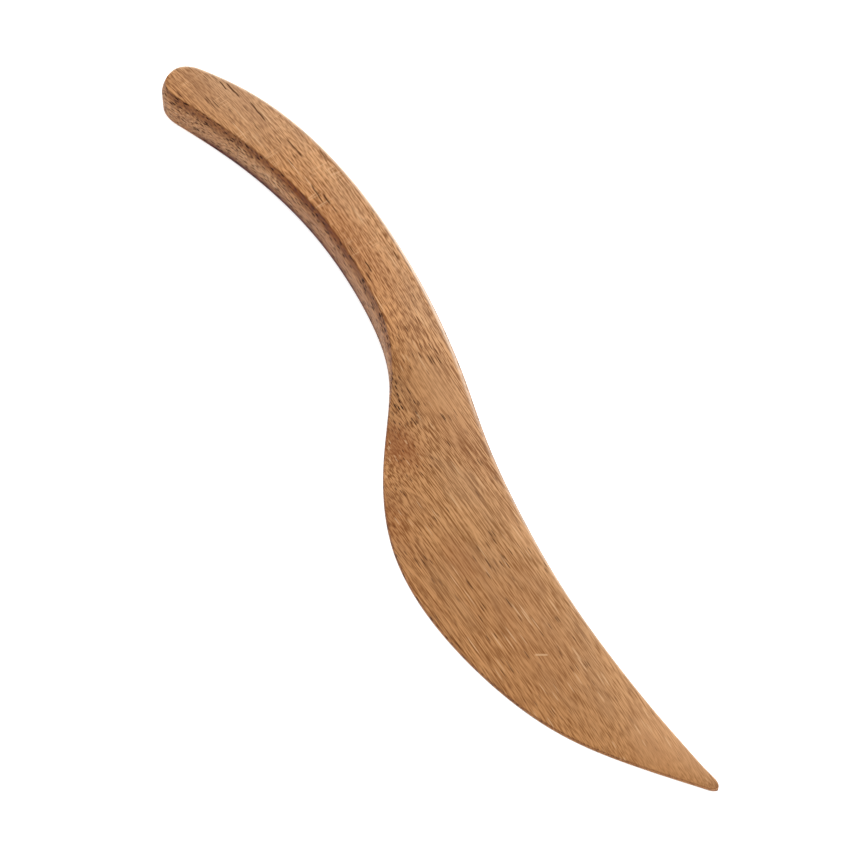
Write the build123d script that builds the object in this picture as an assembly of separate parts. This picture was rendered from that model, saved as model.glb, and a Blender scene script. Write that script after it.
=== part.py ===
from build123d import *
import os
import math
import numpy as np

# Carved wooden clay modelling tool: one piece of hardwood, lying on its flat back.
#
# Frame: millimetres. X runs from the butt to the tip, Y towards the spine, and Z up from the
# flat back. The origin is at the middle of the bounding box, on the back.
# The plan is drawn with X measured from the butt and is moved to the origin at the end.

# Thicknesses
BOARD = 10.0                # the board, and so the whole handle
TIP_THICKNESS = 2.0         # along the spine, at the tip
BELLY_EDGE = 1.0            # along the thin edge of the blade

# Where along X the thickness changes
SPINE_THINS_FROM = 92.0     # the spine starts to lose thickness
SPINE_THINS_TO = 200.0      # and has TIP_THICKNESS here
SPINE_FALL = 1.15           # 1 is a straight taper, more than 1 starts gently
NECK_START = 80.0           # the belly side leaves the full thickness
NECK_END = 104.0            # and is BELLY_EDGE thick from here on

# Edges of a full-thickness section
LEAN_HEIGHT = 3.2           # the top of each side leans inwards over this height
LEAN_INSET = 1.0            # by this much
SHOULDER_RADIUS = 8.0       # where the upright side turns into the leaning part
ARRIS_RADIUS = 0.5          # where the leaning part meets the top face
BACK_BEVEL = 0.5            # bevel along the edge of the flat back
THIN_BEVEL = 0.4            # share of that bevel which an edge of no thickness keeps
CROWN = 0.15                # rise of the handle's top face at its middle

# The blade's top face, across its width: falls slowly at the spine and faster at the belly
BEND_AT = 0.4               # share of the width, from the belly, where its two slopes meet
BLADE_FALL = 1.6            # 1 is a flat face, more than 1 falls faster at the belly
BEND_RADIUS = 2.5           # radius between the slopes, as a multiple of the width

# Rounding of the two ends in plan: how far it reaches along the tool, and how square it is
BUTT_REACH = 6.3
BUTT_SQUARENESS = 2.4
TIP_REACH = 1.4
TIP_SQUARENESS = 2.0

# Rungs across the plan from the butt to the tip: a point on the spine, its partner on the belly
RUNGS = [
    ((-2.2, 4.1), (1.3, -5.0)),
    ((15.0, 13.0), (19.5, 1.3)),
    ((35.0, 17.55), (36.5, 5.0)),
    ((55.1, 18.0), (54.0, 5.9)),
    ((75.1, 15.65), (72.4, 3.7)),
    ((94.6, 11.1), (86.8, -1.7)),
    ((111.0, 6.0), (100.0, -12.2)),
    ((127.0, 2.4), (119.0, -22.9)),
    ((144.0, 0.0), (143.0, -25.2)),
    ((162.0, -0.9), (167.0, -20.4)),
    ((181.0, -0.5), (184.4, -11.3)),
    ((199.2, 0.9), (199.6, -0.4)),
]

# Sections of the loft
BUTT_SECTIONS = 9
LONG_SECTIONS = 26
TIP_SECTIONS = 5
FIRST_SLICE = 0.05          # distance of the outermost section from each end


def ease(u):
    """0 to 1 with level ends."""
    u = min(max(u, 0.0), 1.0)
    return u * u * (3 - 2 * u)


def natural_spline(values):
    """A smooth function through evenly spaced values, with no bending at its two ends."""
    y = np.array(values, dtype=float)
    last = len(y) - 1
    system = np.eye(last + 1)
    right = np.zeros(last + 1)
    for i in range(1, last):
        system[i, i - 1:i + 2] = (1, 4, 1)
        right[i] = 6 * (y[i - 1] - 2 * y[i] + y[i + 1])
    bend = np.linalg.solve(system, right)

    def at(t):
        i = min(int(t), last - 1)
        b = t - i
        a = 1 - b
        cubic = (a ** 3 - a) * bend[i] + (b ** 3 - b) * bend[i + 1]
        return a * y[i] + b * y[i + 1] + cubic / 6

    return at


spine_x = natural_spline([spine[0] for spine, belly in RUNGS])
spine_y = natural_spline([spine[1] for spine, belly in RUNGS])
belly_x = natural_spline([belly[0] for spine, belly in RUNGS])
belly_y = natural_spline([belly[1] for spine, belly in RUNGS])


def rung(t):
    """Spine point and belly point at rung number t, which may lie between two rungs."""
    return Vector(spine_x(t), spine_y(t)), Vector(belly_x(t), belly_y(t))


def centre(t):
    spine, belly = rung(t)
    return (spine + belly) / 2


# Distance along the middle of the tool, so that sections can be placed by length
STEPS = np.linspace(0, len(RUNGS) - 1, 1001)
CENTRES = [centre(t) for t in STEPS]
GAPS = [(b - a).length for a, b in zip(CENTRES, CENTRES[1:])]
ALONG = np.concatenate([[0.0], np.cumsum(GAPS)])
LENGTH_ALONG = float(ALONG[-1])


def spine_thickness(x):
    share = (x - SPINE_THINS_FROM) / (SPINE_THINS_TO - SPINE_THINS_FROM)
    share = min(max(share, 0.0), 1.0)
    return BOARD - (BOARD - TIP_THICKNESS) * share ** SPINE_FALL


def belly_thickness(x):
    share = ease((x - NECK_START) / (NECK_END - NECK_START))
    return BOARD - (BOARD - BELLY_EDGE) * share


def end_width(distance, reach, squareness):
    """Share of the full width at this distance from a rounded end."""
    inside = max(1 - distance / reach, 0.0)
    return (1 - inside ** squareness) ** (1 / squareness)


def back_bevel(thickness, slim):
    """Bevel between a side and the back: smaller on a thin edge, and where the tool is slim."""
    return BACK_BEVEL * slim * (THIN_BEVEL + (1 - THIN_BEVEL) * thickness / BOARD)


def rounded_outline(plane, corners):
    """Closed wire through corners (x, y, radius) on a plane. A radius of 0 leaves a sharp corner."""
    points = [plane.from_local_coords(Vector(x, y)) for x, y, radius in corners]
    arcs = []
    for i, (x, y, radius) in enumerate(corners):
        point = points[i]
        back = (points[i - 1] - point).normalized()
        on = (points[(i + 1) % len(points)] - point).normalized()
        half_angle = math.radians(back.get_angle(on)) / 2
        reach = radius / math.tan(half_angle)
        sagitta_point = point + (back + on).normalized() * radius * (1 / math.sin(half_angle) - 1)
        arcs.append((point + back * reach, sagitta_point, point + on * reach, radius))
    edges = []
    for i, (start, middle, end, radius) in enumerate(arcs):
        if radius > 0:
            edges.append(Edge.make_three_point_arc(start, middle, end))
        edges.append(Edge.make_line(end, arcs[(i + 1) % len(arcs)][0]))
    return Wire(edges)


def section(distance):
    """Closed outline across the tool, this far along its middle from the butt."""
    t = float(np.interp(distance, ALONG, STEPS))
    spine, belly = rung(t)
    middle = (spine + belly) / 2
    across = (spine - belly).normalized()
    to_tip = LENGTH_ALONG - distance
    width = (spine - belly).length
    width *= end_width(distance, BUTT_REACH, BUTT_SQUARENESS)
    width *= end_width(to_tip, TIP_REACH, TIP_SQUARENESS)

    high = spine_thickness(middle.X)
    low = min(belly_thickness(middle.X), high)
    slim = min(1.0, width / BOARD)
    high_scale = high / BOARD * slim
    low_scale = low / BOARD * slim

    # The two ends lean inwards as the sides do
    from_end = min(distance / LEAN_INSET, to_tip / (LEAN_INSET * high / BOARD), 1.0)
    high_end = LEAN_HEIGHT * high / BOARD * (1 - from_end)
    low_end = LEAN_HEIGHT * low / BOARD * (1 - from_end)
    high_top = high - high_end
    low_top = low - low_end
    high_shoulder = high_top - LEAN_HEIGHT * high_scale
    low_shoulder = low_top - LEAN_HEIGHT * low_scale

    # The bevels run on below the back, which is cut flat afterwards
    high_bevel = back_bevel(high, slim)
    low_bevel = back_bevel(low, slim)

    # The top face turns once, at BEND_AT of the width
    fall = 1 - (1 - BEND_AT) ** BLADE_FALL
    bend_z = low_top + (high_top - low_top) * fall + CROWN * slim
    half = width / 2
    inner_low = -half + LEAN_INSET * low_scale
    inner_high = half - LEAN_INSET * high_scale
    bend_y = inner_low + (inner_high - inner_low) * BEND_AT

    corners = [
        (-half + 2 * low_bevel, -low_bevel, 0),
        (half - 2 * high_bevel, -high_bevel, 0),
        (half, high_bevel, high_bevel),
        (half, high_shoulder, SHOULDER_RADIUS * high_scale),
        (inner_high, high_top, ARRIS_RADIUS * high_scale),
        (bend_y, bend_z, BEND_RADIUS * width),
        (inner_low, low_top, ARRIS_RADIUS * low_scale),
        (-half, low_shoulder, SHOULDER_RADIUS * low_scale),
        (-half, low_bevel, low_bevel),
    ]
    plane = Plane(origin=middle, x_dir=across, z_dir=across.cross(Vector(0, 0, 1)))
    return rounded_outline(plane, corners)


def station_distances():
    """Even along the tool, and closer together where its ends round off."""
    quarter = math.pi / 2
    butt = [BUTT_REACH * (1 - math.cos(quarter * i / BUTT_SECTIONS)) for i in range(BUTT_SECTIONS)]
    tip = [TIP_REACH * (1 - math.cos(quarter * i / TIP_SECTIONS)) for i in range(TIP_SECTIONS)]
    butt[0] = FIRST_SLICE
    tip[0] = FIRST_SLICE
    long = np.linspace(BUTT_REACH, LENGTH_ALONG - TIP_REACH, LONG_SECTIONS)
    return butt + [float(distance) for distance in long] + [LENGTH_ALONG - d for d in reversed(tip)]


def carved_wood_tool():
    """The whole tool: lofted, cut flat along its back, and moved to the origin."""
    body = Solid.make_loft([section(distance) for distance in station_distances()])
    reach = 2 * LENGTH_ALONG
    above_back = Pos(0, 0, reach / 2) * Box(2 * reach, 2 * reach, reach)
    body = body & above_back
    box = body.bounding_box()
    return Pos(-box.center().X, -box.center().Y, 0) * body


tool = carved_wood_tool()
tool.label = "carved_wood_tool"
os.makedirs("parts", exist_ok=True)
export_step(tool, "parts/carved_wood_tool.step")
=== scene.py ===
import math

import bmesh
import bpy
import numpy as np
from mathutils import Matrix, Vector, noise


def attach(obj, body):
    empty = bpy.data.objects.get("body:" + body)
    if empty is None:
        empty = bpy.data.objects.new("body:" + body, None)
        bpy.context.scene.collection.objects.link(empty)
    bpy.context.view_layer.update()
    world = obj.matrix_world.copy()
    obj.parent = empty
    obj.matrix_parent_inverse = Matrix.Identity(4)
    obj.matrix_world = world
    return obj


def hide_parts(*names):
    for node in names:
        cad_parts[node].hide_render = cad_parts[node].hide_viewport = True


# A carved wooden clay modelling tool lying on a pale table, in soft studio light.
# The shape is worked out in millimetres, with X measured from the butt as the plan is drawn.
# It is then moved to the CAD part's place, in metres.

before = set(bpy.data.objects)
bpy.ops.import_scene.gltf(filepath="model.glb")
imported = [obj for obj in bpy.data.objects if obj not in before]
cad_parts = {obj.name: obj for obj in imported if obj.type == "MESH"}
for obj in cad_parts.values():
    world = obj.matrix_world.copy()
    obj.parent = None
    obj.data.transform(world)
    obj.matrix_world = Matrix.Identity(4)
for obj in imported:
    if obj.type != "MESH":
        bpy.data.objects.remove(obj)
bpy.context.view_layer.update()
MM = 0.001


# ---------------------------------------------------------------- the tool's driving dimensions

BOARD = 10.0                # thickness of the handle
TIP_THICKNESS = 2.0         # along the spine, at the tip
BELLY_EDGE = 1.0            # along the thin edge of the blade
SPINE_THINS_FROM = 92.0     # the spine starts to lose thickness
SPINE_THINS_TO = 200.0      # and has TIP_THICKNESS here
SPINE_FALL = 1.15           # 1 is a straight taper, more than 1 starts gently
NECK_START = 80.0           # the belly side leaves the full thickness
NECK_END = 104.0            # and is BELLY_EDGE thick from here on
BLADE_FALL = 1.6            # 1 is a flat blade face, more than 1 falls faster at the belly
CROWN = 0.15                # rise of the top face at its middle

# Edges of a full-thickness side. A thinner side keeps the same angles at a smaller scale.
LEAN_HEIGHT = 3.2           # the top of each side leans inwards over this height
LEAN_INSET = 1.0            # by this much
SHOULDER_REACH = 1.2        # how far the upright and the leaning part blend into each other
ARRIS_REACH = 0.22          # the same, where the belly side's leaning part meets the top face
SPINE_ARRIS_REACH = 0.45    # and where the spine side's does
FOOT_REACH = 0.20           # the same, where the side meets the flat back
SMALLEST_SCALE = 0.12       # scale at an edge of no thickness
FINEST_REACH = 0.10         # added at the foot and at the arris, so that thin edges stay soft
STEEPEST_ARRIS = 0.6        # steepest slope of the top face that the belly's arris follows

# Rounding of the two ends in plan: how far it reaches along the tool, and how square it is
BUTT_REACH, BUTT_SQUARENESS = 6.3, 2.4
TIP_REACH, TIP_SQUARENESS = 1.4, 2.0
SLIM_WIDTH = 4.0            # where the plan is narrower than this, the edges get finer
NARROWEST = 1.0             # the slope of the blade's face is worked out for at least this width

# Rungs across the plan from the butt to the tip: a point on the spine, its partner on the belly
RUNGS = [
    ((-2.2, 4.1), (1.3, -5.0)),
    ((15.0, 13.0), (19.5, 1.3)),
    ((35.0, 17.55), (36.5, 5.0)),
    ((55.1, 18.0), (54.0, 5.9)),
    ((75.1, 15.65), (72.4, 3.7)),
    ((94.6, 11.1), (86.8, -1.7)),
    ((111.0, 6.0), (100.0, -12.2)),
    ((127.0, 2.4), (119.0, -22.9)),
    ((144.0, 0.0), (143.0, -25.2)),
    ((162.0, -0.9), (167.0, -20.4)),
    ((181.0, -0.5), (184.4, -11.3)),
    ((199.2, 0.9), (199.6, -0.4)),
]

# Slight waves that sanding by hand leaves in the surface
WAVE_HEIGHT = 0.07          # the surface is out of true by up to this much
WAVE_LENGTH = 16.0          # over this length
WAVE_ONSET = 1.5            # they are at full height from this height over the back
WAVE_SEED = 1               # fixes the waves, which otherwise differ at each run

# Slope of the grain against X, at these distances from the butt
GRAIN_AT = [0.0, 40.0, 78.0, 112.0, 160.0, 195.0]
GRAIN_SLOPE = [0.13, -0.01, -0.15, -0.04, -0.02, -0.09]
GRAIN_FROM, GRAIN_TO = -5.0, 205.0  # the slope is added up over this stretch
GRAIN_STEP = 0.5            # in steps of this length
GRAIN_WINDOW = 41           # and averaged over this many of them

# Mesh fineness
RING_SPACING = 0.45         # between rings along the tool
END_RINGS = 26              # rings in each rounded end
PLAN_POINTS = 4001          # points between which the length along the tool is measured
TOP_COLUMNS = 30            # quads across the top face
BACK_COLUMNS = 14           # quads across the back
WELD_WITHIN = 0.002         # points closer together than this become one

# Points up a side, from the back to the top face: round the foot, up the wall, round the shoulder,
# up the leaning part and round the arris
FOOT_POINTS = 5
WALL_SHARES = (0.06, 0.14, 0.25, 0.5, 0.75)
SHOULDER_POINTS = 6
LEAN_SHARES = (0.33, 0.67)
ARRIS_POINTS = 7
SIDE_POINTS = FOOT_POINTS + len(WALL_SHARES) + SHOULDER_POINTS + len(LEAN_SHARES) + ARRIS_POINTS

# Masks on the sides, all painted light: the dark band of painted shade below the top face, the dark
# line of painted shadow at the foot, and a painted highlight on the arris.
# Each has its value at each point up a side, and its strengths at some distances from the butt.
SIDE_MASKS = {
    # Painted shade: a dark band on the leaning part of each side, just below the top face, fading
    # out at the butt
    "shade_band": (
        [0] * 13 + [0.1, 0.3, 0.6, 1, 1, 1, 1, 0.8, 0.4, 0.1, 0, 0],
        [-1.0, 5.0, 25.0, 40.0, 55.0, 70.0, 85.0],
        [0.0, 0.7, 0.75, 1.0, 1.0, 0.65, 0.5],
    ),
    # Painted contact shadow: a dark line at the foot of each side, where it meets the back
    "foot": (
        [1, 1, 1, 1, 1, 1, 1, 0.6, 0.15] + [0] * 16,
        [5.0, 14.0, 60.0, 80.0, 100.0],
        [0.0, 1.0, 1.0, 0.5, 0.8],
    ),
    # Painted highlight: a pale line on the arris, shown only on the spine side
    "edge_highlight": (
        [0] * 18 + [0.5, 0.9, 1, 1, 0.8, 0.4, 0.1],
        [80.0, 105.0, 140.0],
        [1.0, 0.3, 0.6],
    ),
}


# ---------------------------------------------------------------- plan

def natural_spline(values):
    """A smooth function through evenly spaced values, with no bending at its two ends."""
    y = np.array(values, dtype=float)
    last = len(y) - 1
    system = np.eye(last + 1)
    right = np.zeros(last + 1)
    for i in range(1, last):
        system[i, i - 1:i + 2] = (1, 4, 1)
        right[i] = 6 * (y[i - 1] - 2 * y[i] + y[i + 1])
    bend = np.linalg.solve(system, right)

    def at(t):
        i = np.clip(np.floor(t).astype(int), 0, last - 1)
        b = t - i
        a = 1 - b
        cubic = (a ** 3 - a) * bend[i] + (b ** 3 - b) * bend[i + 1]
        return a * y[i] + b * y[i + 1] + cubic / 6

    return at


def ease(u):
    """0 to 1 with level ends."""
    u = np.clip(u, 0.0, 1.0)
    return u * u * (3 - 2 * u)


def end_width(distance, reach, squareness):
    """Share of the full width at this distance from a rounded end."""
    inside = np.clip(1 - distance / reach, 0.0, 1.0)
    return (1 - inside ** squareness) ** (1 / squareness)


def ring_distances(length):
    """Where the rings lie along the tool: even, and closer together at its rounded ends."""
    quarter = np.linspace(0, math.pi / 2, END_RINGS)
    butt = BUTT_REACH * (1 - np.cos(quarter))
    tip = length - TIP_REACH * (1 - np.cos(quarter[::-1]))
    long = np.linspace(butt[-1], tip[0], int((tip[0] - butt[-1]) / RING_SPACING))
    return np.concatenate([butt[:-1], long, tip[1:]])


def plan_points():
    """Spine and belly points of every ring, its share of the full width, and its slimness.

    The slimness is 1, or less where the plan is narrower than SLIM_WIDTH, and scales the edges.
    """
    splines = [[natural_spline([rung[side][axis] for rung in RUNGS]) for axis in (0, 1)]
               for side in (0, 1)]

    def rungs_at(t):
        return [np.stack([spline(t) for spline in side], 1) for side in splines]

    steps = np.linspace(0, len(RUNGS) - 1, PLAN_POINTS)
    spine, belly = rungs_at(steps)
    gaps = np.linalg.norm(np.diff((spine + belly) / 2, axis=0), axis=1)
    along = np.concatenate([[0.0], np.cumsum(gaps)])
    length = along[-1]

    distance = ring_distances(length)
    spine, belly = rungs_at(np.interp(distance, along, steps))
    slim = np.clip(np.linalg.norm(spine - belly, axis=1) / SLIM_WIDTH, 0, 1)
    share_of_width = end_width(distance, BUTT_REACH, BUTT_SQUARENESS)
    share_of_width *= end_width(length - distance, TIP_REACH, TIP_SQUARENESS)
    middle = (spine + belly) / 2
    half = (spine - belly) / 2 * share_of_width[:, None]
    return middle + half, middle - half, share_of_width, slim


def inward_normals(spine, belly):
    """Unit normals that point into the plan, at the spine points and at the belly points."""
    rings = len(belly)
    outline = np.concatenate([belly, spine[-2:0:-1]])
    turn = np.roll(outline, -1, 0) - np.roll(outline, 1, 0)
    turn /= np.linalg.norm(turn, axis=1)[:, None]
    normals = np.stack([-turn[:, 1], turn[:, 0]], 1)
    spine_normals = np.concatenate([normals[:1], normals[rings:][::-1], normals[rings - 1:rings]])
    return spine_normals, normals[:rings]


def thicknesses(spine, belly):
    """Thickness along the spine and along the belly, ring by ring."""
    x = (spine[:, 0] + belly[:, 0]) / 2
    thinned = np.clip((x - SPINE_THINS_FROM) / (SPINE_THINS_TO - SPINE_THINS_FROM), 0, 1)
    high = BOARD - (BOARD - TIP_THICKNESS) * thinned ** SPINE_FALL
    low = BOARD - (BOARD - BELLY_EDGE) * ease((x - NECK_START) / (NECK_END - NECK_START))
    return high, np.minimum(low, high)


# ---------------------------------------------------------------- sides, top face and back

def rounded(corner, before, after, reach, steps):
    """Points round a corner, from one direction to the other, for every ring at once."""
    start = corner + before * reach
    end = corner + after * reach
    shares = np.linspace(0, 1, steps)
    return [start * (1 - s) ** 2 + corner * 2 * s * (1 - s) + end * s ** 2 for s in shares]


def between(start, end, shares):
    """Points at these shares of the way, for every ring at once."""
    return [start + (end - start) * share for share in shares]


def unit(vectors):
    return vectors / np.linalg.norm(vectors, axis=1)[:, None]


def side_profile(height, slim, rise, arris_reach):
    """Inset and height of the points up one side of every ring, from the back to the top face.

    rise is the top face's slope where the side meets it.
    """
    scale = slim * (SMALLEST_SCALE + (1 - SMALLEST_SCALE) * height / BOARD)
    zero, one = np.zeros_like(height), np.ones_like(height)
    inwards = np.stack([one, zero], 1)
    up = np.stack([zero, one], 1)
    foot = np.stack([zero, zero], 1)
    shoulder = np.stack([zero, height - LEAN_HEIGHT * scale], 1)
    top = np.stack([LEAN_INSET * scale, height], 1)
    lean = unit(top - shoulder)
    across = unit(np.stack([one, rise], 1))

    foot_reach = (FINEST_REACH + FOOT_REACH * scale)[:, None] * slim[:, None]
    arris_reach = (FINEST_REACH + arris_reach * scale)[:, None] * slim[:, None]
    shoulder_reach = (SHOULDER_REACH * scale)[:, None]
    foot_round = rounded(foot, inwards, up, foot_reach, FOOT_POINTS)
    shoulder_round = rounded(shoulder, -up, lean, shoulder_reach, SHOULDER_POINTS)
    arris = rounded(top, -lean, across, arris_reach, ARRIS_POINTS)
    wall = between(foot_round[-1], shoulder_round[0], WALL_SHARES)
    leaning = between(shoulder_round[-1], arris[0], LEAN_SHARES)

    points = foot_round + wall + shoulder_round + leaning + arris
    return np.stack(points, 1)


def side_points(plan, normals, profile):
    """Where a side's profile lies in space, for every ring."""
    flat = plan[:, None, :] + normals[:, None, :] * profile[:, :, :1]
    return np.concatenate([flat, profile[:, :, 1:]], 2)


def blade_rise(share):
    """Height of the top face between its belly edge at 0 and its spine edge at 1."""
    return 1 - (1 - share) ** BLADE_FALL


def inner_shares(columns):
    """Where the lines between this many columns lie, as shares of the way across."""
    return np.linspace(0, 1, columns + 1)[1:-1]


def tool_sides(spine, belly, share_of_width, slim):
    """Points up the belly side and up the spine side of every ring."""
    spine_normals, belly_normals = inward_normals(spine, belly)
    high, low = thicknesses(spine, belly)
    width = np.linalg.norm(spine - belly, axis=1)

    # The two sides become alike towards each end, where they meet in one upright line
    low = high + (low - high) * share_of_width
    spine_reach = ARRIS_REACH + (SPINE_ARRIS_REACH - ARRIS_REACH) * share_of_width
    belly_slope = BLADE_FALL * (high - low) / np.maximum(width, NARROWEST)
    level = np.zeros_like(high)
    spine_profile = side_profile(high, slim, level, spine_reach)
    belly_profile = side_profile(low, slim, np.minimum(belly_slope, STEEPEST_ARRIS), ARRIS_REACH)
    belly_side = side_points(belly, belly_normals, belly_profile)
    return belly_side, side_points(spine, spine_normals, spine_profile)


def top_face(low_edge, high_edge, crown):
    """Points across the top face of every ring, from its belly edge to its spine edge."""
    top = []
    for share in inner_shares(TOP_COLUMNS):
        climb = blade_rise(share)
        point = low_edge + (high_edge - low_edge) * share
        point[:, 2] = low_edge[:, 2] * (1 - climb) + high_edge[:, 2] * climb
        point[:, 2] += crown * 4 * share * (1 - share)
        top.append(point)
    return np.stack(top, 1)


def tool_masks(x):
    """Values of the masks round every ring, in the order of its points."""
    top = inner_shares(TOP_COLUMNS)
    back = inner_shares(BACK_COLUMNS)
    to_spine = np.concatenate([np.zeros(SIDE_POINTS), top, np.ones(SIDE_POINTS), 1 - back])
    masks = {"spine": np.outer(np.ones_like(x), to_spine)}
    for name, (up_side, at, strength) in SIDE_MASKS.items():
        around = np.concatenate([up_side, top * 0, up_side[::-1], back * 0])
        masks[name] = np.outer(np.interp(x, at, strength), around)
    return masks


def tool_rings():
    """Every ring's closed loop of points, and the masks' values at all of them.

    A loop goes up the belly side, across the top face, down the spine side and back underneath.
    """
    spine, belly, share_of_width, slim = plan_points()
    belly_side, spine_side = tool_sides(spine, belly, share_of_width, slim)
    width = np.linalg.norm(spine - belly, axis=1)
    crown = CROWN * slim * np.clip(width / BOARD, 0, 1)
    top = top_face(belly_side[:, -1], spine_side[:, -1], crown)
    back = np.stack(between(spine_side[:, 0], belly_side[:, 0], inner_shares(BACK_COLUMNS)), 1)
    loops = np.concatenate([belly_side, top, spine_side[:, ::-1], back], 1)
    return loops, tool_masks((spine[:, 0] + belly[:, 0]) / 2)


def hand_finish(points):
    """Adds the waves to all points, fading out towards the flat back."""
    noise.seed_set(WAVE_SEED)
    for point in points:
        wave = noise.noise_vector(Vector(point) / WAVE_LENGTH)
        point += np.array(wave) * WAVE_HEIGHT * ease(point[2] / WAVE_ONSET)


def grain_line(x):
    """How far the grain has run sideways at this distance from the butt."""
    steps = np.arange(GRAIN_FROM, GRAIN_TO + GRAIN_STEP, GRAIN_STEP)
    slopes = np.interp(steps, GRAIN_AT, GRAIN_SLOPE)
    smooth = np.convolve(slopes, np.ones(GRAIN_WINDOW) / GRAIN_WINDOW, mode="same")
    return np.interp(x, steps, np.cumsum(smooth) * GRAIN_STEP)


def store(mesh, name, kind, field, values):
    """Keeps a value or a vector at every point of the mesh, for its material."""
    mesh.attributes.new(name, kind, "POINT").data.foreach_set(field, values.ravel())


def carved_tool(material):
    """The tool as one closed mesh in the CAD part's place."""
    loops, masks = tool_rings()
    rings, around = loops.shape[:2]
    points = loops.reshape(-1, 3)
    hand_finish(points)
    grain = points.copy()
    grain[:, 1] -= grain_line(points[:, 0])
    middle = (points.min(0) + points.max(0)) / 2
    placed = (points - [middle[0], middle[1], 0]) * MM

    faces = []
    for i in range(rings - 1):
        for j in range(around):
            k = (j + 1) % around
            here, next_ring = i * around, (i + 1) * around
            faces.append((here + j, here + k, next_ring + k, next_ring + j))
    mesh = bpy.data.meshes.new("carved_tool")
    mesh.from_pydata(placed.tolist(), [], faces)
    store(mesh, "plan", "FLOAT_VECTOR", "vector", points)
    store(mesh, "grain", "FLOAT_VECTOR", "vector", grain)
    for name, values in masks.items():
        store(mesh, name, "FLOAT", "value", values)

    shape = bmesh.new()
    shape.from_mesh(mesh)
    bmesh.ops.remove_doubles(shape, verts=shape.verts, dist=WELD_WITHIN * MM)
    bmesh.ops.recalc_face_normals(shape, faces=shape.faces)
    shape.to_mesh(mesh)
    shape.free()
    mesh.shade_smooth()
    mesh.materials.append(material)
    piece = bpy.data.objects.new("carved_tool", mesh)
    bpy.context.collection.objects.link(piece)
    return piece


# ---------------------------------------------------------------- nodes

class Shader:
    """Adds nodes to a material. Inputs are numbers, colours or other nodes' outputs."""

    # Where a dash, a line or an oval patch reaches full strength, as a share of its own size
    DASH_CORE = 0.55
    LINE_CORE = 0.3
    LINE_FULL_LENGTH = 0.6
    PATCH_CORE = 0.2
    LUCK_BLUR = 0.04        # dashes this close to missing the draw are faint ones
    PATCH_HEIGHT = 1000     # far more than the tool's, so that a patch goes right through it

    def __init__(self, name):
        self.material = bpy.data.materials.new(name)
        self.material.use_nodes = True
        self.tree = self.material.node_tree

    def node(self, kind, inputs, output=0, **settings):
        """Adds a node of this kind and gives one of its outputs, by name or by number."""
        made = self.tree.nodes.new("ShaderNode" + kind)
        for name, value in settings.items():
            setattr(made, name, value)
        for key, value in inputs.items():
            self.feed(made.inputs[key], value)
        return made.outputs[output]

    def feed(self, socket, value):
        if isinstance(value, bpy.types.NodeSocket):
            self.tree.links.new(value, socket)
        else:
            socket.default_value = value

    def surface(self, looks):
        """Finishes the material: sets or links the shader's own sockets, by name."""
        for name, value in looks.items():
            self.feed(self.tree.nodes["Principled BSDF"].inputs[name], value)
        return self.material

    def attribute(self, name, output="Fac"):
        """A value that is stored in the mesh, or a vector if the output is Vector."""
        return self.node("Attribute", {}, output, attribute_name=name)

    def math(self, operation, a, b=0.0, c=0.0):
        return self.node("Math", {0: a, 1: b, 2: c}, operation=operation)

    def times(self, a, b):
        return self.math("MULTIPLY", a, b)

    def larger(self, a, b):
        return self.math("MAXIMUM", a, b)

    def ramp(self, share, at_zero, at_one):
        """A number that goes from at_zero to at_one as the share goes from 0 to 1."""
        return self.math("MULTIPLY_ADD", share, at_one - at_zero, at_zero)

    def swing(self, pattern, contrast, middle):
        """The middle value, moved each way by up to half the contrast by a pattern from 0 to 1."""
        return self.math("MULTIPLY_ADD", self.math("SUBTRACT", pattern, 0.5), contrast, middle)

    def fade(self, value, zero_at, one_at):
        """0 to 1 as the value goes from zero_at to one_at."""
        inputs = {"Value": value, "From Min": zero_at, "From Max": one_at}
        return self.node("MapRange", inputs, interpolation_type="SMOOTHSTEP")

    def vector(self, operation, a, b, output=0):
        return self.node("VectorMath", {0: a, 1: b}, output, operation=operation)

    def stretched(self, vector, size):
        """The vector, so that a pattern of size 1 gets this size in millimetres."""
        return self.vector("DIVIDE", vector, size)

    def noise(self, vector, size, detail=2.0):
        inputs = {"Vector": self.stretched(vector, size), "Scale": 1.0, "Detail": detail}
        return self.node("TexNoise", inputs)

    def mix(self, factor, a, b, blend="MIX"):
        """Two colours mixed. The node's inputs 6 and 7 and its output 2 are the ones for colours."""
        return self.node("Mix", {0: factor, 6: a, 7: b}, 2, data_type="RGBA", blend_type=blend)

    def dashes(self, vector, size, thickness, share):
        """Short dashes along X in a share of the cells of this size: 1 on a dash and 0 off it."""
        inputs = {"Vector": self.stretched(vector, size), "Scale": 1.0}
        cells = self.node("TexVoronoi", inputs, feature="F1").node
        on_dash = self.fade(cells.outputs["Distance"], thickness, thickness * self.DASH_CORE)
        luck = self.node("SeparateColor", {0: cells.outputs["Color"]})
        return self.times(on_dash, self.fade(luck, share, share - self.LUCK_BLUR))

    def line(self, vector, start, end, width):
        """A fine line on the surface between two points of the plan: 1 on it and 0 off it."""
        run = Vector(end) - Vector(start)
        half = run.length / 2
        run.normalize()
        offset = self.vector("SUBTRACT", vector, (start[0], start[1], 0))
        along = self.vector("DOT_PRODUCT", offset, (run.x, run.y, 0), "Value")
        off_line = self.vector("DOT_PRODUCT", offset, (-run.y, run.x, 0), "Value")
        near = self.fade(self.math("ABSOLUTE", off_line), width, width * self.LINE_CORE)
        past_middle = self.math("ABSOLUTE", self.math("SUBTRACT", along, half))
        inside = self.fade(past_middle, half, half * self.LINE_FULL_LENGTH)
        return self.times(near, inside)

    def patch(self, vector, centre, size):
        """A soft oval patch: 1 at its middle and 0 from its edge on."""
        offset = self.vector("SUBTRACT", vector, (centre[0], centre[1], 0))
        shares = self.vector("DIVIDE", offset, (size[0], size[1], self.PATCH_HEIGHT))
        reach = self.vector("LENGTH", shares, (0, 0, 0), "Value")
        return self.fade(reach, 1.0, self.PATCH_CORE)


# ---------------------------------------------------------------- hardwood

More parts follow.
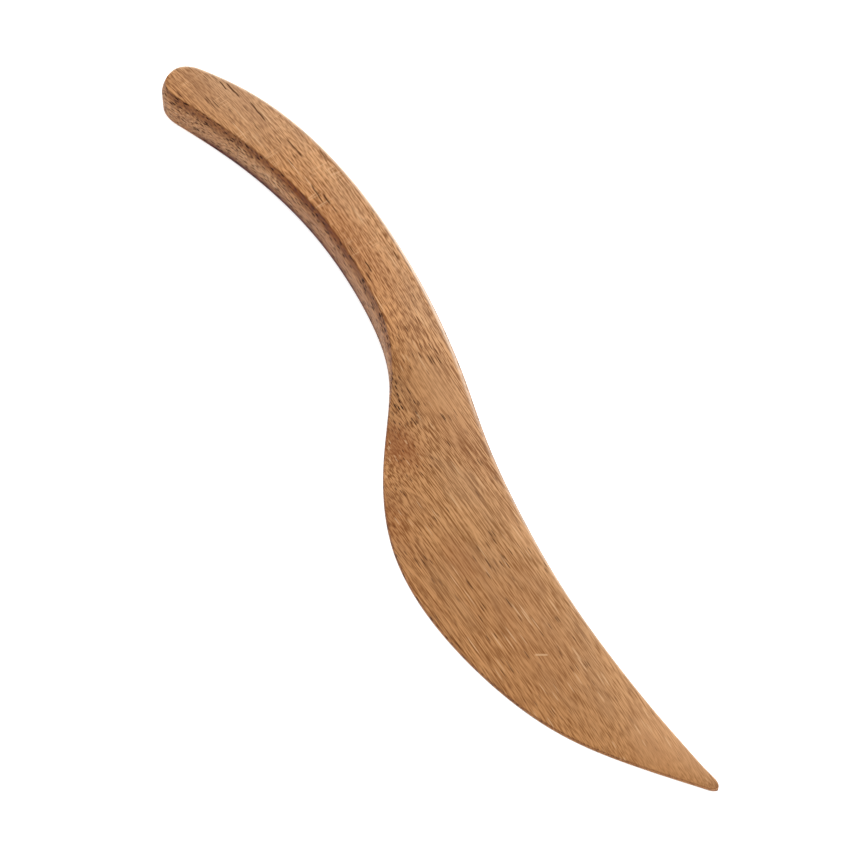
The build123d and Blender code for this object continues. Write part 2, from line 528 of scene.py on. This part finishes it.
# Colours of the wood and its pores, and tints that multiply the colour below them
WOOD_LIGHT = (0.600, 0.325, 0.155, 1)
WOOD_DARK = (0.225, 0.092, 0.032, 1)
WOOD_RED = (0.260, 0.082, 0.024, 1)
WOOD_HONEY = (0.400, 0.200, 0.058, 1)
WOOD_GREY = (0.400, 0.250, 0.150, 1)
WOOD_PALE = (0.700, 0.430, 0.230, 1)
# Colour of the painted highlight on the spine's arris
EDGE_HIGHLIGHT = (0.820, 0.650, 0.500, 1)
PORE = (0.045, 0.013, 0.004, 1)
# Painted shade towards the belly side
BELLY_SHADE_TINT = (0.96, 0.86, 0.72, 1)
# Painted shade for the dark band below the top face
SHADE_BAND_TINT = (0.44, 0.23, 0.02, 1)
# Painted contact shadow along the foot of the sides
FOOT_SHADOW_TINT = (0.24, 0.06, 0.01, 1)

# Sizes of the patterns, in millimetres along the tool, across it and through its thickness
RIBBONS = (70, 5.0, 5.0)
STREAKS = (40, 0.45, 0.8)
FIBRES = (9.0, 0.19, 0.34)
SPECKS = (1.5, 0.20, 0.36)
PORE_CROWDS = (16, 3.0, 3.0)
RUBBED_PATCHES = (7, 5, 5)
SANDING_MARKS = (0.25, 6, 6)
CRACK_BENDS = (2.5, 2.5, 2.5)

# Tone of the wood, where 0 is WOOD_DARK and 1 is WOOD_LIGHT, and how far each pattern moves it.
# A pair of numbers is for the blade and for the handle.
MIDDLE_TONE = 0.55
RIBBON_CONTRAST = 0.26
STREAK_CONTRAST = 0.18
SPECK_CONTRAST = (1.3, 2.1)
FIBRE_CONTRAST = (3.0, 1.4)
FINE_TEXTURE = (0.6, 1.1)   # share of the last two at the tip, and from the butt to the neck

# Where a look fades in: the distances from the butt at which it is absent and is full
HANDLE_TEXTURE_AT = (105.0, 75.0)
FINE_TEXTURE_AT = (190.0, 100.0)
PORES_AT = (185.0, 140.0)
SANDING_AT = (84.0, 60.0)

# The same for noise values, and for the upward share of a surface's direction
CROWDS_AT = (0.32, 0.60)
RUBBED_AT = (0.45, 0.65)
MARKS_AT = (0.56, 0.76)
SIDEWAYS_AT = (0.8, 0.4)

# Strengths of the pale fibres, sanding marks, scratch and the painted highlight on the spine's edge
# over the wood's own colour, and of the painted shade in the darker band at the belly side and at
# the spine side
PALE_FIBRE_STRENGTH = 0.60
MARK_STRENGTH = 0.45
SCRATCH_STRENGTH = 0.6
EDGE_HIGHLIGHT_STRENGTH = 0.80
SHADE_BAND_STRENGTH = (1.0, 0.3)

# Irregular stains: size, the two noise values between which they fade in, colour, strength
STAINS = [
    ((14, 5, 5), (0.46, 0.68), WOOD_GREY, 0.20),
    ((22, 6, 6), (0.52, 0.72), WOOD_RED, 0.18),
]

# Soft clouds in the wood: centre and half size in plan, colour, strength
CLOUDS = [
    ((150, -10), (60, 20), WOOD_HONEY, 0.25),
    ((97, 3), (17, 7), WOOD_LIGHT, 0.42),
    ((134, -1), (9, 3), WOOD_LIGHT, 0.40),
    ((190, -4), (20, 9), WOOD_LIGHT, 0.45),
    ((100, -9), (12, 5), WOOD_RED, 0.55),
    ((110, -20), (16, 7), WOOD_RED, 0.25),
    ((57, 8), (24, 7), WOOD_RED, 0.22),
    ((130, -14), (9, 4), WOOD_RED, 0.28),
    ((152, -12), (30, 13), WOOD_RED, 0.17),
    ((14, 8), (24, 12), WOOD_GREY, 0.35),
    ((3, 1), (15, 12), WOOD_DARK, 0.10),
    ((7, 4), (7, 3), WOOD_DARK, 0.25),
]

# Dashes along the grain: cell size, thickness as a share of a cell, and share of cells with one
PORES = ((5.4, 0.42, 0.65), 0.25, 0.50)
SIDE_PORES = ((2.2, 0.9, 0.70), 0.37, 0.95)
NECK_PORES = ((2.4, 0.50, 0.9), 0.34, 0.90)
VESSELS = ((11.0, 0.90, 1.6), 0.17, 0.38)
PALE_FIBRES = ((16.0, 0.70, 1.2), 0.22, 0.60)

# Moves that keep two of these patterns from following the others
NECK_PORES_MOVE = (7, 3, 11)
PALE_FIBRES_MOVE = (31, 17, 5)

# Where pores crowd together on the neck: centre and half size, in plan
NECK_CROWD = ((92, -4), (14, 7))

# How dark each kind of dash is, from 0 to 1. A pair of numbers is for its two extremes.
PORE_DEPTH = (0.30, 0.92)   # lone pores, crowded pores
SIDE_PORE_DEPTH = 0.95
VESSEL_DEPTH = 0.8
DEPTH_ALONG = (0.35, 1.0)   # share of it at the tip, and from the butt to the blade's widest part

# Shallow cracks in the handle, near the spine: the two ends of each, in plan
CRACKS = [
    ((9.1, 8.6), (14.9, 9.0)),
    ((8.1, 7.7), (11.4, 7.8)),
    ((16.2, 10.2), (23.0, 10.2)),
    ((28.6, 11.4), (35.2, 11.7)),
    ((40.9, 9.3), (47.2, 8.9)),
    ((44.5, 10.2), (48.0, 10.0)),
    ((63.3, 8.2), (66.9, 7.7)),
]
CRACK_WIDTH = 0.22
CRACK_WANDER = 0.5
CRACK_DEPTH = 0.85
SCRATCH = ((155.8, -13.8), (157.7, -11.4))
SCRATCH_WIDTH = 0.28

# Relief and sheen: pores are sunk and matt, and the fibres stand up a little
PORE_RELIEF = 0.06          # depth of a pore in the relief, in millimetres
FIBRE_RELIEF = 0.35         # height of a fibre, as a share of that depth
RELIEF_STRENGTH = 0.6
ROUGHNESS = (0.40, 0.65)    # on dark streaks and on light ones, and more in the pores


def wood_tone(wood, grain, from_butt, streaks, fibres):
    """Tone of the bare wood: broad ribbons, streaks inside them, single fibres and specks."""
    ribbons = wood.noise(grain, RIBBONS, detail=0)
    specks = wood.noise(grain, SPECKS, detail=0)
    on_handle = wood.fade(from_butt, *HANDLE_TEXTURE_AT)
    fine = wood.swing(specks, wood.ramp(on_handle, *SPECK_CONTRAST), 0.0)
    fine = wood.swing(fibres, wood.ramp(on_handle, *FIBRE_CONTRAST), fine)
    fine = wood.times(fine, wood.ramp(wood.fade(from_butt, *FINE_TEXTURE_AT), *FINE_TEXTURE))
    tone = wood.swing(ribbons, RIBBON_CONTRAST, MIDDLE_TONE)
    tone = wood.swing(streaks, STREAK_CONTRAST, tone)
    return wood.node("Clamp", {0: wood.math("ADD", tone, fine)})


def clouded(wood, colour, grain, plan):
    """The colour with its stains and clouds."""
    for size, fading, tint, strength in STAINS:
        stain = wood.fade(wood.noise(grain, size), *fading)
        colour = wood.mix(wood.times(stain, strength), colour, tint)
    for centre, size, tint, strength in CLOUDS:
        cloud = wood.times(wood.patch(plan, centre, size), strength)
        colour = wood.mix(cloud, colour, tint)
    return colour


def pore_depth(wood, grain, plan, from_butt):
    """Pores in clusters, more of them on the sides and at the neck, and long dark vessels."""
    crowding = wood.fade(wood.noise(grain, PORE_CROWDS, detail=1), *CROWDS_AT)
    depth = wood.times(wood.dashes(grain, *PORES), wood.ramp(crowding, *PORE_DEPTH))

    normal = wood.node("NewGeometry", {}, "Normal")
    upwards = wood.node("SeparateXYZ", {0: normal}, "Z")
    sideways = wood.times(wood.fade(upwards, *SIDEWAYS_AT), SIDE_PORE_DEPTH)
    depth = wood.larger(depth, wood.times(wood.dashes(grain, *SIDE_PORES), sideways))
    depth = wood.larger(depth, wood.times(wood.dashes(grain, *VESSELS), VESSEL_DEPTH))

    neck_pores = wood.dashes(wood.vector("ADD", grain, NECK_PORES_MOVE), *NECK_PORES)
    depth = wood.larger(depth, wood.times(neck_pores, wood.patch(plan, *NECK_CROWD)))
    return wood.times(depth, wood.ramp(wood.fade(from_butt, *PORES_AT), *DEPTH_ALONG))


def sanding_marks(wood, grain, plan, from_butt):
    """Marks across the grain, in patches and only on the handle."""
    handle = wood.fade(from_butt, *SANDING_AT)
    rubbed = wood.fade(wood.noise(grain, RUBBED_PATCHES, detail=1), *RUBBED_AT)
    marks = wood.fade(wood.noise(plan, SANDING_MARKS, detail=0), *MARKS_AT)
    return wood.times(marks, wood.times(handle, rubbed))


def with_cracks(wood, depth, plan):
    """The depth with the cracks, which wander a little to both sides of a straight line."""
    wander = wood.swing(wood.noise(plan, CRACK_BENDS, detail=1), CRACK_WANDER, 0.0)
    wandering = wood.vector("ADD", plan, wood.node("CombineXYZ", {1: wander}))
    for start, end in CRACKS:
        crack = wood.line(wandering, start, end, CRACK_WIDTH)
        depth = wood.larger(depth, wood.times(crack, CRACK_DEPTH))
    return depth


def side_colours(wood, colour, spine):
    """The colour with the sides' painted shade in a darker band, a painted contact shadow in the
    dark line at their foot and a painted highlight along the spine's edge.
    """
    # Painted shade in the band below the top face
    shade_band = wood.times(wood.attribute("shade_band"), wood.ramp(spine, *SHADE_BAND_STRENGTH))
    colour = wood.mix(shade_band, colour, SHADE_BAND_TINT, blend="MULTIPLY")
    # Painted contact shadow along the foot
    colour = wood.mix(wood.attribute("foot"), colour, FOOT_SHADOW_TINT, blend="MULTIPLY")
    # Painted highlight on the spine's edge
    rubbed = wood.times(wood.attribute("edge_highlight"), wood.times(spine, EDGE_HIGHLIGHT_STRENGTH))
    return wood.mix(rubbed, colour, EDGE_HIGHLIGHT)


def hardwood():
    """Reddish-brown hardwood with open pores, sanded, with a thin oil finish."""
    wood = Shader("hardwood")
    plan = wood.attribute("plan", "Vector")
    grain = wood.attribute("grain", "Vector")
    spine = wood.attribute("spine")
    from_butt = wood.node("SeparateXYZ", {0: plan}, "X")
    streaks = wood.noise(grain, STREAKS, detail=1)
    fibres = wood.noise(grain, FIBRES, detail=0)

    tone = wood_tone(wood, grain, from_butt, streaks, fibres)
    colour = wood.mix(tone, WOOD_DARK, WOOD_LIGHT)
    colour = clouded(wood, colour, grain, plan)
    # Painted shade: the colour gets darker towards the belly side
    colour = wood.mix(wood.math("SUBTRACT", 1.0, spine), colour, BELLY_SHADE_TINT, blend="MULTIPLY")

    pale_fibres = wood.dashes(wood.vector("ADD", grain, PALE_FIBRES_MOVE), *PALE_FIBRES)
    colour = wood.mix(wood.times(pale_fibres, PALE_FIBRE_STRENGTH), colour, WOOD_PALE)
    marks = sanding_marks(wood, grain, plan, from_butt)
    colour = wood.mix(wood.times(marks, MARK_STRENGTH), colour, WOOD_PALE)
    depth = with_cracks(wood, pore_depth(wood, grain, plan, from_butt), plan)
    colour = wood.mix(depth, colour, PORE)
    scratch = wood.line(plan, *SCRATCH, SCRATCH_WIDTH)
    colour = wood.mix(wood.times(scratch, SCRATCH_STRENGTH), colour, WOOD_PALE)
    colour = side_colours(wood, colour, spine)

    height = wood.math("MULTIPLY_ADD", fibres, FIBRE_RELIEF, wood.times(depth, -1.0))
    relief = {"Strength": RELIEF_STRENGTH, "Distance": PORE_RELIEF * MM, "Height": height}
    return wood.surface({
        "Base Color": colour,
        "Roughness": wood.larger(depth, wood.ramp(streaks, *ROUGHNESS)),
        "Normal": wood.node("Bump", relief),
        "IOR": 1.45,
        "Specular IOR Level": 0.15,
    })


# ---------------------------------------------------------------- the piece

tool = carved_tool(hardwood())
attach(tool, "root")
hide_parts("carved_wood_tool")


# ---------------------------------------------------------------- stage, light and camera

# In metres, and the camera's lens and sensor in millimetres
FLOOR_HALF = 3.0
FLOOR_GAP = 0.0001          # keeps the floor just under the back
CAMERA_TARGET = Vector((0.0013, 0.00170, 0.004))
CAMERA_OFFSET = Vector((0.3128, -0.2171, 0.7161))
LENS = 165
SENSOR_WIDTH = 36
NEAREST_SEEN = 0.05

# The softbox, as the camera sees it: over the tool, behind it and to its right
KEY_BEHIND = 0.75
KEY_RIGHT = 0.65
KEY_ELEVATION = 64          # degrees
KEY_DISTANCE = 1.1
KEY_SIZE = 1.5
KEY_POWER = 18.5            # watts
ROOM_STRENGTH = 0.35


def table_top():
    """Pale matt table, lit softly from below as a light table is, so that shadows stay faint."""
    return Shader("pale_table").surface({
        "Base Color": (0.90, 0.90, 0.90, 1),
        "Roughness": 0.9,
        "Specular IOR Level": 0.1,
        "Emission Color": (1, 1, 1, 1),
        "Emission Strength": 0.66,
    })


def floor():
    """A large square of table, just under the tool."""
    sides = ((-1, -1), (1, -1), (1, 1), (-1, 1))
    corners = [(x * FLOOR_HALF, y * FLOOR_HALF, -FLOOR_GAP) for x, y in sides]
    mesh = bpy.data.meshes.new("table")
    mesh.from_pydata(corners, [], [(0, 1, 2, 3)])
    mesh.materials.append(table_top())
    made = bpy.data.objects.new("table", mesh)
    bpy.context.collection.objects.link(made)
    return made


def key_softbox():
    """Square soft light, aimed at the tool."""
    light = bpy.data.lights.new("key_softbox", "AREA")
    light.shape = "SQUARE"
    light.size = KEY_SIZE
    light.energy = KEY_POWER
    behind = Vector((-CAMERA_OFFSET.x, -CAMERA_OFFSET.y, 0)).normalized()
    right = Vector((behind.y, -behind.x, 0))
    away = (behind * KEY_BEHIND + right * KEY_RIGHT).normalized()
    elevation = math.radians(KEY_ELEVATION)
    direction = away * math.cos(elevation) + Vector((0, 0, math.sin(elevation)))
    made = bpy.data.objects.new("key_softbox", light)
    made.location = CAMERA_TARGET + direction * KEY_DISTANCE
    made.rotation_euler = direction.to_track_quat("Z", "Y").to_euler()
    bpy.context.collection.objects.link(made)


def room():
    """An even dim room round the table."""
    world = bpy.data.worlds.new("studio")
    world.use_nodes = True
    background = world.node_tree.nodes["Background"]
    background.inputs["Color"].default_value = (1.0, 1.0, 1.0, 1)
    background.inputs["Strength"].default_value = ROOM_STRENGTH
    bpy.context.scene.world = world
    bpy.context.scene.view_settings.view_transform = "Standard"


def camera():
    lens = bpy.data.cameras.new("camera")
    lens.lens = LENS
    lens.sensor_width = SENSOR_WIDTH
    lens.clip_start = NEAREST_SEEN
    made = bpy.data.objects.new("camera", lens)
    made.location = CAMERA_TARGET + CAMERA_OFFSET
    made.rotation_euler = (-CAMERA_OFFSET).to_track_quat("-Z", "Y").to_euler()
    bpy.context.collection.objects.link(made)
    bpy.context.scene.camera = made


floor()
key_softbox()
room()
camera()
